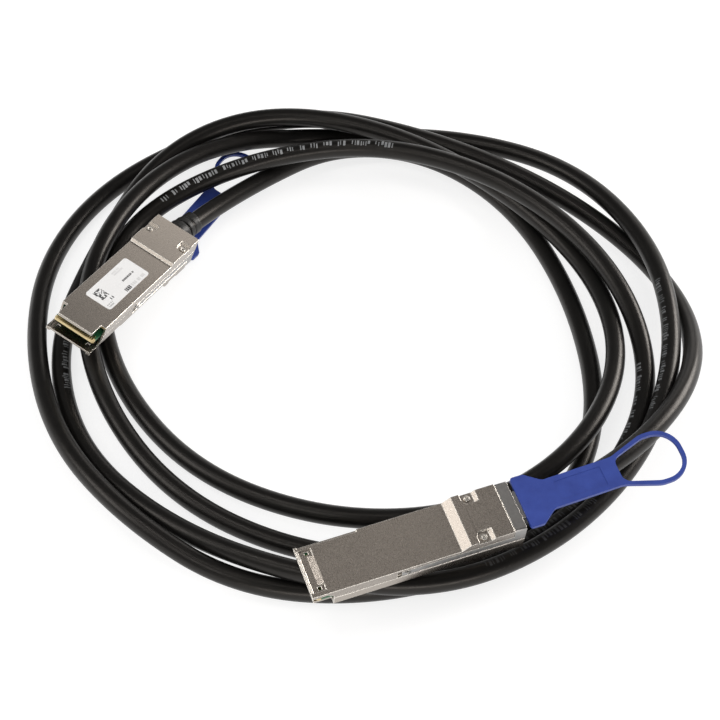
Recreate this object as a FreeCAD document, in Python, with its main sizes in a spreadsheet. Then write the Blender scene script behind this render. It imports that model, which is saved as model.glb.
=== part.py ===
# Passive copper cable with a quad small-form-factor plug on each end.
# Millimetres. The origin is on the table, below the middle of the coil; +Z is up.
# Each plug is built in its own frame: x runs from the nose to the cable, y across,
# z from the belly face (0) to the label face. Its pose then lays it on the coil.
import FreeCAD, Part
import math
import os
import re

import Sketcher

V = FreeCAD.Vector

SIZES = {
    # die-cast housing
    "plug_length": 72.4,
    "plug_width": 18.35,
    "nose_height": 8.5,
    "axis_height": 4.6,
    "floor_wall": 1.1,
    "cover_wall": 1.2,
    "ramp_setback": 22.1,
    "ramp_run": 2.9,
    "belly_drop": 2.3,
    "step_setback": 19.8,
    "step_run": 0.8,
    "step_rise": 1.1,
    # nose of the housing
    "rim_depth": 0.6,
    "rim_height": 1.4,
    "cover_front": 1.3,
    "notch_length": 6.0,
    "notch_width": 2.1,
    "wall_foot": 5.3,
    "wall_knee": 3.2,
    "lip_relief": 0.5,
    "pocket_front": 1.0,
    "pocket_rear": 5.2,
    "pocket_margin": 3.15,
    "pocket_depth": 0.6,
    "wedge_front": 3.2,
    "wedge_width": 10.2,
    "window_size": 1.2,
    "window_x": 3.4,
    "window_pitch": 12.6,
    "rebate_length": 21.0,
    "rebate_width": 0.8,
    "rebate_depth": 0.7,
    # bays inside the housing
    "shelf_front": 12.0,
    "wire_bay_width": 12.0,
    "bulkhead_lead": 5.0,
    "bulkhead_length": 5.6,
    "rear_bay_width": 10.8,
    "rear_wall_length": 6.4,
    "rear_floor": 1.3,
    "fit_gap": 0.06,
    # contact card
    "card_front": 1.7,
    "card_length": 24.3,
    "card_margin": 1.95,
    "card_height": 4.0,
    "card_thickness": 1.0,
    "card_gap": 0.15,
    "card_chamfer": 0.7,
    "pad_length": 2.6,
    "pad_width": 0.54,
    "pad_pitch": 0.8,
    "pad_thickness": 0.06,
    "pad_setback": 0.25,
    # rivets and their open recesses
    "belly_rivet_setback": 14.2,
    "cover_rivet_setback": 9.0,
    "rivet_inset": 1.875,
    "rivet_radius": 0.75,
    "head_radius": 1.15,
    "head_height": 0.5,
    "recess_depth": 0.9,
    "recess_reach": 2.1,
    "recess_round": 1.9,
    "recess_slope": 1.2,
    "rivet_grip": 2.2,
    # release slider
    "slot_front": 28.5,
    "slot_low": 1.2,
    "slot_high": 4.35,
    "slot_depth": 0.75,
    "arm_front": 30.0,
    "arm_gap": 0.25,
    "sheet": 0.5,
    "slider_inset": 0.05,
    "band_length": 4.0,
    "band_gap": 0.2,
    "band_round": 0.8,
    "hook_length": 2.6,
    "hook_height": 0.4,
    "tongue_reach": 6.0,
    "tongue_width": 10.0,
    "tongue_joggle": 0.6,
    "lug_x": 39.4,
    "lug_thickness": 0.6,
    "lug_reach": 1.7,
    # slider springs
    "spring_length": 10.0,
    "spring_radius": 0.7,
    "spring_wire": 0.25,
    "spring_pocket": 1.9,
    # pull tab
    "tab_gap": 1.4,
    "tab_width": 18.8,
    "tab_thickness": 1.3,
    "tab_offset": 0.3,
    "bend_reach": 7.1,
    "tab_bend_radius": 12.0,
    "tab_length": 51.6,
    "strap_width": 10.8,
    "shoulder_reach": 6.0,
    "shoulder_run": 5.2,
    "loop_reach": 34.1,
    "loop_run": 12.5,
    "shoulder_round": 1.0,
    "waist_round": 2.8,
    "flare_round": 6.0,
    "loop_round": 6.6,
    "hole_round": 2.5,
    "loop_width": 18.4,
    "loop_wall": 1.7,
    "panel_reach": 14.6,
    "panel_length": 16.0,
    "panel_width": 7.0,
    "panel_depth": 0.2,
    "far_tab_bend": 14.0,
    "near_tab_bend": -3.4,
    # wires, ferrule, cable and boot
    "cable_radius": 3.5,
    "cable_seat": 59.0,
    "ferrule_length": 4.8,
    "ferrule_radius": 3.65,
    "ferrule_bore": 2.75,
    "wire_radius": 0.5,
    "wire_start": 23.6,
    "block_length": 3.6,
    "wire_spread": 2.9,
    "wire_gather": 1.3,
    "wire_rows": 1.24,
    "neck_radius": 4.1,
    "flange_radius": 4.5,
    "flange_setback": 5.2,
    "flange_length": 1.8,
    "boot_radius": 5.0,
    "boot_tip_radius": 4.0,
    "boot_reach": 11.6,
    "groove_reach": 4.0,
    "groove_pitch": 3.2,
    "groove_width": 1.0,
    # label sheet
    "label_front": 16.0,
    "label_length": 27.3,
    "label_width": 10.8,
    "label_offset": 0.2,
    "label_round": 1.2,
    "label_sheet": 0.1,
    # memory chip on the card
    "chip_x": 15.0,
    "chip_size": 3.0,
    "chip_height": 0.8,
}

# Places and widths that follow from those sizes.
PLACES = {
    "ramp_foot": "plug_length - ramp_setback",
    "step_foot": "plug_length - step_setback",
    "pocket_width": "plug_width - pocket_margin",
    "card_width": "plug_width - card_margin",
    "bulkhead_front": "cable_seat - bulkhead_lead",
    "rear_wall": "plug_length - rear_wall_length",
    "belly_rivet_x": "plug_length - belly_rivet_setback",
    "cover_rivet_x": "plug_length - cover_rivet_setback",
    "rivet_side": "plug_width/2 - rivet_inset",
    "band_front": "plug_length - band_length",
    "tongue_rear": "plug_length + tongue_reach",
    "tab_front": "plug_length + tab_gap",
    "tab_bend_x": "plug_length + bend_reach",
    "shoulder_x": "plug_length + shoulder_reach",
    "panel_front": "plug_length + panel_reach",
    "loop_start": "plug_length + loop_reach",
    "flange_front": "plug_length - flange_setback",
    "groove_first": "plug_length + groove_reach",
    "boot_rear": "plug_length + boot_reach",
}

# Where each plug lies: the place of its frame, then yaw, pitch and roll in degrees.
PLUG_POSES = {
    "far": (V(-102.2, -11.3, 21.7), 63.9, 12.1, 16.1),
    "near": (V(-18.4, -113.0, 25.0), 20.7, -0.5, 190.2),
}

# The cable's route, point by point, from inside the far plug through five loose turns.
CABLE_ROUTE = [
    (-75.27, 40.78, 13.65), (-66.23, 59.22, 9.25), (-42, 85.5, 7), (-10.5, 108.5, 6.5),
    (27, 107, 3.5), (59.5, 76, 3.5), (78.5, 25.5, 3.5), (83.5, -28, 3.5),
    (68, -70.5, 3.5), (30, -92, 3.5), (-18, -90.5, 3.5), (-62.5, -66.5, 3.5),
    (-92, -24, 6.5), (-102, 24.5, 12), (-88, 69.5, 16), (-56.5, 103, 13.5),
    (-10.5, 117, 3.5), (40, 116, 4), (82.5, 92, 9), (108, 47.5, 12),
    (112, -3.5, 12.5), (96.5, -52, 11.5), (66, -88.5, 10.5), (26, -108, 9.5),
    (-18.5, -105, 12), (-63, -82, 7), (-97.5, -45.5, 3.5), (-110.5, 3, 3.5),
    (-98.5, 54, 4.5), (-77.5, 97, 12.5), (-41, 116, 17), (5.5, 108.5, 17),
    (51.5, 80.5, 12.5), (85, 39, 8.5), (93, -8.5, 10), (74, -52, 11.5),
    (37, -77.5, 9), (-10.5, -78, 6), (-56, -56, 3.5), (-86.5, -15.5, 3.5),
    (-98, 31.5, 5.5), (-83, 69, 8.5), (-41.5, 92.5, 14), (9.5, 95, 20),
    (59, 71.5, 20), (93, 30.5, 15.5), (103, -16.5, 8), (85.5, -59.5, 6),
    (50.5, -92, 5.5), (4.5, -106.5, 3.5), (-41, -103.5, 5), (-77.5, -79.5, 10.5),
    (-104.5, -44, 8.5), (-117.5, 1, 6), (-117.5, 47, 4), (-99.5, 86, 3.5),
    (-65.5, 112, 5.5), (-22.5, 121, 12.5), (23.5, 108, 12), (68, 86.5, 7.5),
    (102, 56, 3.5), (119, 17.5, 6), (115.5, -23, 16), (91.5, -59.5, 20.5),
    (56.18, -83.95, 21.17), (36.54, -91.37, 20.99),
]

doc = FreeCAD.newDocument("copper_cable")
sheet = doc.addObject("Spreadsheet::Sheet", "sizes")
for row, (alias, number) in enumerate(SIZES.items(), start=1):
    sheet.set(f"A{row}", alias)
    sheet.set(f"B{row}", str(number))
    sheet.setAlias(f"B{row}", alias)
doc.recompute()

PARTS = []


def value(formula):
    """The number that a sum of sheet names, such as 'plug_width/2 - sheet', comes to."""
    total = 0.0
    for term in formula.replace("- ", "+ -").split("+"):
        term = term.strip()
        if not term:
            continue
        sign = -1.0 if term.startswith("-") else 1.0
        product, _, divisor = term.lstrip("-").partition("/")
        name, _, factor = product.partition("*")
        name = name.strip()
        if name in PLACES:
            number = value(PLACES[name])
        else:
            number = SIZES[name] if name in SIZES else float(name)
        total += sign * number * float(factor or 1) / float(divisor or 1)
    return total


def bound(formula):
    """The same sum written for the expression engine."""
    def written(word):
        name = word.group(0)
        return f"({bound(PLACES[name])})" if name in PLACES else "sizes." + name
    return re.sub(r"[a-z_]+", written, formula)


def bind(thing, prop, formula):
    thing.setExpression(prop, bound(formula))


# Bodies and sketches

def new_body(label):
    body = doc.addObject("PartDesign::Body", label)
    body.Label = label
    PARTS.append(body)
    return body


def plane_of(body, role):
    return [item for item in body.Origin.OriginFeatures if item.Role == role][0]


def new_sketch(body, role, lift="0", raise_axis=None):
    """A sketch on one of the body's own planes, lifted along the plane's normal."""
    sketch = body.newObject("Sketcher::SketchObject", "sketch")
    sketch.AttachmentSupport = [(plane_of(body, role), "")]
    sketch.MapMode = "FlatFace"
    bind(sketch, ".AttachmentOffset.Base.z", lift)
    if raise_axis:
        bind(sketch, ".AttachmentOffset.Base.y", raise_axis)
    return sketch


def outline(sketch, corners):
    """A closed outline with every corner bound to the sheet."""
    spots = [V(value(x), value(y), 0) for x, y in corners]
    first = sketch.GeometryCount
    count = len(spots)
    for i in range(count):
        sketch.addGeometry(Part.LineSegment(spots[i], spots[(i + 1) % count]))
    for i in range(count):
        nearby = first + (i + 1) % count
        sketch.addConstraint(Sketcher.Constraint("Coincident", first + i, 2, nearby, 1))
    for i, (x, y) in enumerate(corners):
        for kind, formula, number in (("DistanceX", x, spots[i].x), ("DistanceY", y, spots[i].y)):
            place = Sketcher.Constraint(kind, -1, 1, first + i, 1, number)
            index = sketch.addConstraint(place)
            sketch.setExpression(f"Constraints[{index}]", bound(formula))
    return sketch


def rectangle(sketch, x_low, x_high, y_low, y_high):
    return outline(sketch, [(x_low, y_low), (x_high, y_low), (x_high, y_high), (x_low, y_high)])


def circle(sketch, x, y, radius):
    spot = V(value(x), value(y), 0)
    index = sketch.addGeometry(Part.Circle(spot, V(0, 0, 1), value(radius)))
    sizes = (("DistanceX", x, spot.x), ("DistanceY", y, spot.y))
    for kind, formula, number in sizes:
        tie = sketch.addConstraint(Sketcher.Constraint(kind, -1, 1, index, 3, number))
        sketch.setExpression(f"Constraints[{tie}]", bound(formula))
    tie = sketch.addConstraint(Sketcher.Constraint("Radius", index, value(radius)))
    sketch.setExpression(f"Constraints[{tie}]", bound(radius))
    return sketch


def mirrored(formula):
    """The formula with every sign turned over."""
    flipped = []
    for term in formula.replace("- ", "+ -").split("+"):
        term = term.strip()
        if term:
            flipped.append(term[1:] if term.startswith("-") else "-" + term)
    return " + ".join(flipped)


def pad(body, sketch, length, both_ways=False, reverse=False):
    feature = body.newObject("PartDesign::Pad", "pad")
    feature.Profile = sketch
    bind(feature, "Length", length)
    if both_ways:
        feature.SideType = "Symmetric"
    feature.Reversed = reverse
    doc.recompute()
    return feature


def pocket(body, sketch, length=None, both_ways=False, reverse=False):
    """A cut along the sketch's back, or through everything on that side."""
    before = body.Shape.Volume
    feature = body.newObject("PartDesign::Pocket", "pocket")
    feature.Profile = sketch
    if both_ways:
        feature.SideType = "Symmetric"
    if length is None:
        feature.Type = "ThroughAll"
    else:
        bind(feature, "Length", length)
    feature.Reversed = reverse
    doc.recompute()
    if not body.Shape.Volume < before - 1e-6:
        raise RuntimeError(f"a pocket in {body.Label} cuts nothing")
    return feature


def turned(body, sketch, kind):
    """A revolution or groove about the sketch's own horizontal axis."""
    feature = body.newObject("PartDesign::" + kind, kind.lower())
    feature.Profile = sketch
    feature.ReferenceAxis = (sketch, ["H_Axis"])
    feature.Angle = 360.0
    doc.recompute()
    return feature


def mirror_across(body, features):
    feature = body.newObject("PartDesign::Mirrored", "mirror")
    feature.Originals = features
    feature.MirrorPlane = (plane_of(body, "XZ_Plane"), [""])
    body.Tip = feature
    doc.recompute()
    return feature


def edges_at(feature, spots):
    """Names of the feature's edges that lie nearest to the given points."""
    names = []
    for spot in spots:
        vertex = Part.Vertex(spot)
        gaps = [edge.distToShape(vertex)[0] for edge in feature.Shape.Edges]
        names.append(f"Edge{gaps.index(min(gaps)) + 1}")
    return names


def soften(body, spots, radius, kind="Fillet"):
    """Rounds or bevels the edges at the given points of the body's own frame."""
    base = body.Tip
    names = edges_at(base, spots)
    feature = body.newObject("PartDesign::" + kind, kind.lower())
    feature.Base = (base, names)
    bind(feature, "Radius" if kind == "Fillet" else "Size", radius)
    doc.recompute()
    return feature


def both_sides(x, y, z):
    return [V(value(x), value(y), value(z)), V(value(x), -value(y), value(z))]


def new_feature(label, shape):
    feature = doc.addObject("Part::Feature", label)
    feature.Label = label
    feature.Shape = shape
    PARTS.append(feature)
    return feature


def tangent_edges(points):
    """Straight runs joined by tangent arcs, each as large as its two runs allow."""
    edges = []
    radii = []
    start = points[0]
    for before, corner, after in zip(points, points[1:], points[2:]):
        back, ahead = before - corner, after - corner
        turn = math.pi - back.getAngle(ahead)
        reach = 0.45 * min(back.Length, ahead.Length)
        radius = reach / math.tan(turn / 2)
        radii.append(radius)
        first = corner + back.normalize() * reach
        last = corner + ahead.normalize() * reach
        inward = (back + ahead).normalize()
        middle = corner + inward * (radius / math.cos(turn / 2) - radius)
        edges.append(Part.LineSegment(start, first).toShape())
        edges.append(Part.Arc(first, middle, last).toShape())
        start = last
    edges.append(Part.LineSegment(start, points[-1]).toShape())
    return edges, radii


def plug_pose(end):
    place, yaw, pitch, roll = PLUG_POSES[end]
    return FreeCAD.Placement(place, FreeCAD.Rotation(yaw, pitch, roll))


# Housing

def open_recesses(body, x, surface, out):
    """Recesses round the rivet heads, open to the plug's two sides and sloped at the rear."""
    inner = "rivet_side - recess_reach"
    outer = "plug_width/2 + 1"
    low, high = f"{x} - recess_reach", f"{x} + recess_reach"
    floor = f"{surface} {'-' if out > 0 else '+'} recess_depth"
    above = f"{surface} {'+' if out > 0 else '-'} 1"
    sketch = new_sketch(body, "XY_Plane", floor)
    rectangle(sketch, low, high, inner, outer)
    rectangle(sketch, low, high, mirrored(outer), mirrored(inner))
    pocket(body, sketch, reverse=out > 0)
    deep = value(floor) + out * value("recess_depth") / 2
    corners = [V(value(low), value(inner), deep), V(value(low), -value(inner), deep)]
    soften(body, corners, "recess_round")
    slope = new_sketch(body, "XZ_Plane", inner)
    outline(slope, [(high, floor), (high + " + recess_slope", surface),
                    (high + " + recess_slope", above), (high, above)])
    cut = pocket(body, slope, reverse=True)
    mirror_across(body, [cut])


def rivet_holes(body, start, length, x, reverse):
    sketch = new_sketch(body, "XY_Plane", start)
    for side in ("rivet_side", "-rivet_side"):
        circle(sketch, x, side, "rivet_radius + fit_gap")
    pocket(body, sketch, length=length, reverse=reverse)


def bored_axis(body):
    """Seats of the ferrule, the cable and the boot, turned about the cable's axis."""
    seats = new_sketch(body, "XZ_Plane", raise_axis="axis_height")
    ferrule = "ferrule_radius + fit_gap"
    rectangle(seats, "bulkhead_front - 1", "bulkhead_front + bulkhead_length + 1", "0", ferrule)
    turned(body, seats, "Groove")
    rear = new_sketch(body, "XZ_Plane", raise_axis="axis_height")
    neck = "neck_radius + fit_gap"
    flange = "flange_radius + fit_gap"
    flange_low = "flange_front - fit_gap"
    flange_high = "flange_front + flange_length + fit_gap"
    outline(rear, [("rear_wall - 1", "0"), ("plug_length + 1", "0"), ("plug_length + 1", neck),
                   (flange_high, neck), (flange_high, flange), (flange_low, flange),
                   (flange_low, neck), ("rear_wall - 1", neck)])
    turned(body, rear, "Groove")


def bottom_shell(label):
    body = new_body(label)
    seam = "axis_height"
    notch_rear = "cover_front + notch_length"
    side = new_sketch(body, "XZ_Plane")
    outline(side, [("0", "0"), ("ramp_foot", "0"), ("ramp_foot + ramp_run", "-belly_drop"),
                   ("plug_length", "-belly_drop"), ("plug_length", seam), (notch_rear, seam),
                   (notch_rear, "wall_knee"), ("wall_foot", "rim_height"), ("0", "rim_height")])
    pad(body, side, "plug_width", both_ways=True)
    half_card = "card_width/2 + card_gap"
    for front, rear, half, floor in (
            ("rim_depth", "shelf_front", half_card, "floor_wall"),
            ("shelf_front - 1", "card_front + card_length + card_gap", half_card, "card_height"),
            ("shelf_front - 1", "bulkhead_front", "wire_bay_width/2", "floor_wall"),
            ("bulkhead_front + bulkhead_length", "rear_wall", "rear_bay_width/2",
             "rear_floor - belly_drop")):
        bay = new_sketch(body, "XY_Plane", floor)
        rectangle(bay, front, rear, mirrored(half), half)
        pocket(body, bay, reverse=True)
    bored_axis(body)
    # side slots for the slider's arms, and the seat of its rear band
    slots = new_sketch(body, "XZ_Plane", "plug_width/2 - slot_depth")
    seat = "band_front - band_gap"
    outline(slots, [("slot_front", "slot_low"), (seat, "slot_low"), (seat, "-belly_drop - 1"),
                    ("plug_length + 1", "-belly_drop - 1"), ("plug_length + 1", "slot_high"),
                    ("slot_front", "slot_high")])
    cut = pocket(body, slots, reverse=True)
    mirror_across(body, [cut])
    band = new_sketch(body, "XZ_Plane")
    rectangle(band, seat, "plug_length + 1", "-belly_drop - 1", "-belly_drop + slot_depth")
    pocket(body, band, both_ways=True)
    tongue = new_sketch(body, "XZ_Plane")
    rectangle(tongue, "plug_length - sheet - band_gap", "plug_length + 1", "-belly_drop - 1",
              "-belly_drop + slider_inset + tongue_joggle + sheet + band_gap")
    pocket(body, tongue, length="tongue_width + band_gap*2", both_ways=True)
    # pockets that hold the slider's springs
    spring_half = "spring_pocket/2"
    nest = new_sketch(body, "XZ_Plane", "plug_width/2 - slot_depth - spring_pocket")
    middle = "slot_low/2 + slot_high/2"
    rectangle(nest, "lug_x - card_gap", "lug_x + lug_thickness + spring_length",
              middle + " - spring_pocket/2", middle + " + spring_pocket/2")
    cut = pocket(body, nest, reverse=True)
    mirror_across(body, [cut])
    # belly face of the nose: shallow pocket, wedge and two square windows
    relief = new_sketch(body, "XY_Plane", "pocket_depth")
    rectangle(relief, "pocket_front", "pocket_rear", "-pocket_width/2", "pocket_width/2")
    pocket(body, relief)
    wedge = new_sketch(body, "XZ_Plane")
    outline(wedge, [("wedge_front", "pocket_depth"), ("pocket_rear", "0"),
                    ("pocket_rear", "pocket_depth")])
    pad(body, wedge, "wedge_width", both_ways=True)
    windows = new_sketch(body, "XY_Plane", "rim_height")
    low, high = "window_x - window_size/2", "window_x + window_size/2"
    near, far = "window_pitch/2 - window_size/2", "window_pitch/2 + window_size/2"
    rectangle(windows, low, high, near, far)
    rectangle(windows, low, high, mirrored(far), mirrored(near))
    pocket(body, windows)
    lip = new_sketch(body, "XY_Plane", "pocket_depth")
    rectangle(lip, "-1", "lip_relief", "-pocket_width/2", "pocket_width/2")
    pocket(body, lip)
    rebate = new_sketch(body, "XY_Plane", "rebate_depth")
    rectangle(rebate, "pocket_front", "rebate_length", "-plug_width/2 - 1",
              "-plug_width/2 + rebate_width")
    pocket(body, rebate)
    open_recesses(body, "belly_rivet_x", "-belly_drop", -1)
    rivet_holes(body, "-belly_drop", None, "belly_rivet_x", True)
    rivet_holes(body, seam, "rivet_grip + fit_gap", "cover_rivet_x", False)
    return body


def top_shell(label):
    body = new_body(label)
    seam = "axis_height"
    notch_rear = "cover_front + notch_length"
    crown = "nose_height + step_rise"
    roof = "nose_height - cover_wall"
    side = new_sketch(body, "XZ_Plane")
    outline(side, [("cover_front", "nose_height"), ("cover_front", roof), (notch_rear, roof),
                   (notch_rear, seam), ("plug_length", seam), ("plug_length", crown),
                   ("step_foot + step_run", crown), ("step_foot", "nose_height")])
    pad(body, side, "plug_width", both_ways=True)
    half_card = "card_width/2 + card_gap"
    for front, rear, half, ceiling in (
            (notch_rear + " - 1", "shelf_front", half_card, roof),
            ("shelf_front - 1", "card_front + card_length + card_gap", half_card,
             "card_height + card_thickness"),
            ("shelf_front - 1", "bulkhead_front", "wire_bay_width/2", roof),
            ("bulkhead_front + bulkhead_length", "rear_wall", "rear_bay_width/2",
             crown + " - cover_wall")):
        bay = new_sketch(body, "XY_Plane", ceiling)
        rectangle(bay, front, rear, mirrored(half), half)
        pocket(body, bay)
    bored_axis(body)
    notches = new_sketch(body, "XY_Plane", "nose_height")
    inner, outer = "plug_width/2 - notch_width", "plug_width/2 + 1"
    rectangle(notches, "cover_front - 1", notch_rear, inner, outer)
    rectangle(notches, "cover_front - 1", notch_rear, mirrored(outer), mirrored(inner))
    pocket(body, notches)
    open_recesses(body, "cover_rivet_x", crown, 1)
    rivet_holes(body, crown, None, "cover_rivet_x", False)
    rivet_holes(body, seam, "rivet_grip + fit_gap", "belly_rivet_x", True)
    return body


def shell_rivets(label):
    """Four rivets: two from the belly, two from the label face."""
    body = new_body(label)
    body.AllowCompound = True
    seam = "axis_height"
    belly_face = "-belly_drop + recess_depth"
    cover_face = "nose_height + step_rise - recess_depth"
    for x, face, end, out in (("belly_rivet_x", belly_face, seam + " + rivet_grip", -1),
                              ("cover_rivet_x", cover_face, seam + " - rivet_grip", 1)):
        for side in ("rivet_side", "-rivet_side"):
            shank = new_sketch(body, "XY_Plane", face)
            circle(shank, x, side, "rivet_radius")
            span = f"{end} + {mirrored(face)}" if out < 0 else f"{face} + {mirrored(end)}"
            pad(body, shank, span, reverse=out > 0)
            head = new_sketch(body, "XY_Plane", face)
            circle(head, x, side, "head_radius")
            pad(body, head, "head_height", reverse=out < 0)
            dimple = new_sketch(body, "XY_Plane", f"{face} {'+' if out > 0 else '-'} head_height")
            circle(dimple, x, side, "rivet_radius*0.7")
            pocket(body, dimple, length="head_height*0.8", reverse=out < 0)
    return body


# Contact card

def paddle_card(label):
    body = new_body(label)
    plan = new_sketch(body, "XY_Plane", "card_height")
    rear = "card_front + card_length"
    half = "card_width/2"
    inset = "card_width/2 - card_chamfer"
    bevel = "card_front + card_chamfer"
    outline(plan, [(bevel, mirrored(half)), (rear, mirrored(half)), (rear, half), (bevel, half),
                   ("card_front", inset), ("card_front", mirrored(inset))])
    pad(body, plan, "card_thickness")
    top, bottom = "card_height + card_thickness", "card_height"
    soften(body, [V(value("card_front"), 0, value(top)), V(value("card_front"), 0, value(bottom))],
           "card_thickness/4", kind="Chamfer")
    return body


def contact_pads(label):
    """Two rows of gold contacts, one on each face of the card."""
    body = new_body(label)
    body.AllowCompound = True
    front = "card_front + card_thickness/4 + pad_setback"
    half_row = "pad_pitch*9"
    for lift, below in (("card_height + card_thickness", False), ("card_height", True)):
        contact = new_sketch(body, "XY_Plane", lift)
        rectangle(contact, front, front + " + pad_length", f"-{half_row} - pad_width/2",
                  f"-{half_row} + pad_width/2")
        first = pad(body, contact, "pad_thickness", reverse=below)
        row = body.newObject("PartDesign::LinearPattern", "row")
        row.Originals = [first]
        row.Direction = (contact, ["V_Axis"])
        row.Mode = "Spacing"
        bind(row, "Offset", "pad_pitch")
        row.Occurrences = 19
        body.Tip = row
        doc.recompute()
    return body


def board_chip(label):
    """The memory chip and its two capacitors, soldered on the card's upper face."""
    body = new_body(label)
    body.AllowCompound = True
    lift = "card_height + card_thickness"
    plan = new_sketch(body, "XY_Plane", lift)
    half = "chip_size/2"
    rectangle(plan, "chip_x - chip_size/2", "chip_x + chip_size/2", mirrored(half), half)
    pad(body, plan, "chip_height")
    small = new_sketch(body, "XY_Plane", lift)
    near, far = "chip_x + chip_size", "chip_x + chip_size*1.3"
    rectangle(small, near, far, "-chip_size/2", "-chip_size/3")
    rectangle(small, near, far, "chip_size/3", "chip_size/2")
    pad(body, small, "chip_height/2")
    return body


# Wires and what grips the cable

def wire_places():
    """Each wire's y and z at the card, then its y and z in the ferrule."""
    middle = SIZES["card_height"] + SIZES["card_thickness"] / 2
    lift = SIZES["card_thickness"] / 2 + SIZES["wire_radius"]
    rows = SIZES["wire_rows"] / 2
    for level in (-1, 1):
        for column in (-1.5, -0.5, 0.5, 1.5):
            yield (column * SIZES["wire_spread"], middle + level * lift,
                   column * SIZES["wire_gather"], SIZES["axis_height"] + level * rows)


def wire_pairs(label):
    """Eight twin-axial wires, flat on the card, then gathered into the ferrule."""
    radius = SIZES["wire_radius"]
    start = SIZES["wire_start"]
    spread_end = SIZES["card_front"] + SIZES["card_length"] + 2 * SIZES["block_length"]
    gathered = value("bulkhead_front - wire_spread")
    seat = value("cable_seat - fit_gap")
    axis = V(1, 0, 0)
    wires = []
    for y_card, z_card, y_ferrule, z_ferrule in wire_places():
        run = Part.makePolygon([V(start, y_card, z_card), V(spread_end, y_card, z_card),
                                V(gathered, y_ferrule, z_ferrule), V(seat, y_ferrule, z_ferrule)])
        end = Part.Wire(Part.makeCircle(radius, V(start, y_card, z_card), axis))
        wires.append(run.makePipeShell([end], True, False, 1))
    return new_feature(label, Part.makeCompound(wires))


def solder_block(label):
    """Hot-melt block moulded round the wires behind the card."""
    body = new_body(label)
    rear = "card_front + card_length + card_gap"
    profile = new_sketch(body, "YZ_Plane", rear)
    half = "wire_bay_width/2 - fit_gap"
    rectangle(profile, mirrored(half), half, "floor_wall + fit_gap",
              "nose_height - cover_wall - fit_gap")
    pad(body, profile, "block_length")
    bores = new_sketch(body, "YZ_Plane", rear)
    middle = "card_height + card_thickness/2"
    for level in (" + card_thickness/2 + wire_radius", " - card_thickness/2 - wire_radius"):
        for column in ("-wire_spread*1.5", "-wire_spread*0.5", "wire_spread*0.5",
                       "wire_spread*1.5"):
            circle(bores, column, middle + level, "wire_radius")
    pocket(body, bores, both_ways=True)
    return body


def crimp_ferrule(label):
    """A crimped ring round the wires, against the end of the cable's jacket."""
    body = new_body(label)
    profile = new_sketch(body, "XZ_Plane", raise_axis="axis_height")
    front = "cable_seat - ferrule_length"
    rear = "cable_seat - fit_gap"
    waist = "ferrule_radius - fit_gap*5"
    outline(profile, [(front, "ferrule_bore"), (rear, "ferrule_bore"),
                      (rear, "ferrule_radius"),
                      ("cable_seat - ferrule_length/4", "ferrule_radius"),
                      ("cable_seat - ferrule_length/3", waist),
                      (front + " + ferrule_length/3", waist),
                      (front + " + ferrule_length/4", "ferrule_radius"),
                      (front, "ferrule_radius")])
    turned(body, profile, "Revolution")
    return body


def strain_relief(label):
    """The moulded boot: a flange held by the shells, then ribs that bend with the cable."""
    end = label.split("_")[0]
    to_plug = plug_pose(end).inverse()
    route = [to_plug.multVec(V(*spot)) for spot in CABLE_ROUTE]
    if end == "near":
        route.reverse()
    arc = tangent_edges(route[:3])[0][1]
    bore = value("cable_radius + fit_gap")
    # the part inside the housing, turned about the axis
    rear = value("plug_length + fit_gap*4")
    flange_end = value("flange_front + flange_length")
    rings = [(value("rear_wall + fit_gap"), bore), (rear, bore), (rear, SIZES["neck_radius"]),
             (flange_end, SIZES["neck_radius"]), (flange_end, SIZES["flange_radius"]),
             (value("flange_front"), SIZES["flange_radius"]),
             (value("flange_front"), SIZES["neck_radius"]),
             (value("rear_wall + fit_gap"), SIZES["neck_radius"])]
    lift = SIZES["axis_height"]
    corners = [V(x, 0, lift + radius) for x, radius in rings + rings[:1]]
    inside = Part.Face(Part.makePolygon(corners)).revolve(V(0, 0, lift), V(1, 0, 0), 360)

    def sleeve(low, high, radius):
        """A round length of the boot along the cable's first bend."""
        turn = [arc.FirstParameter + (x - arc.Vertexes[0].X) / arc.Curve.Radius
                for x in (low, high)]
        spine = arc.Curve.toShape(*turn)
        centre, way = spine.valueAt(turn[0]), spine.tangentAt(turn[0])
        section = Part.Wire(Part.makeCircle(radius, centre, way))
        return Part.Wire(spine).makePipeShell([section], True, False)

    # outside it: ribs of falling radius with grooves between them
    first, pitch, width = (value(name) for name in ("groove_first", "groove_pitch",
                                                    "groove_width"))
    starts = [rear, first + width, first + pitch + width]
    ends = [first, first + pitch, value("boot_rear")]
    fall = (SIZES["boot_radius"] - SIZES["boot_tip_radius"]) / len(starts)
    core = sleeve(rear, value("boot_rear"), SIZES["boot_tip_radius"])
    ribs = [sleeve(low, high, SIZES["boot_radius"] - fall * number)
            for number, (low, high) in enumerate(zip(starts, ends))]
    outside = core.fuse(ribs)
    outside = outside.cut(sleeve(rear - pitch, value("boot_rear") + width, bore))
    return new_feature(label, inside.fuse(outside).removeSplitter())


# Release slider, springs and pull tab

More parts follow.
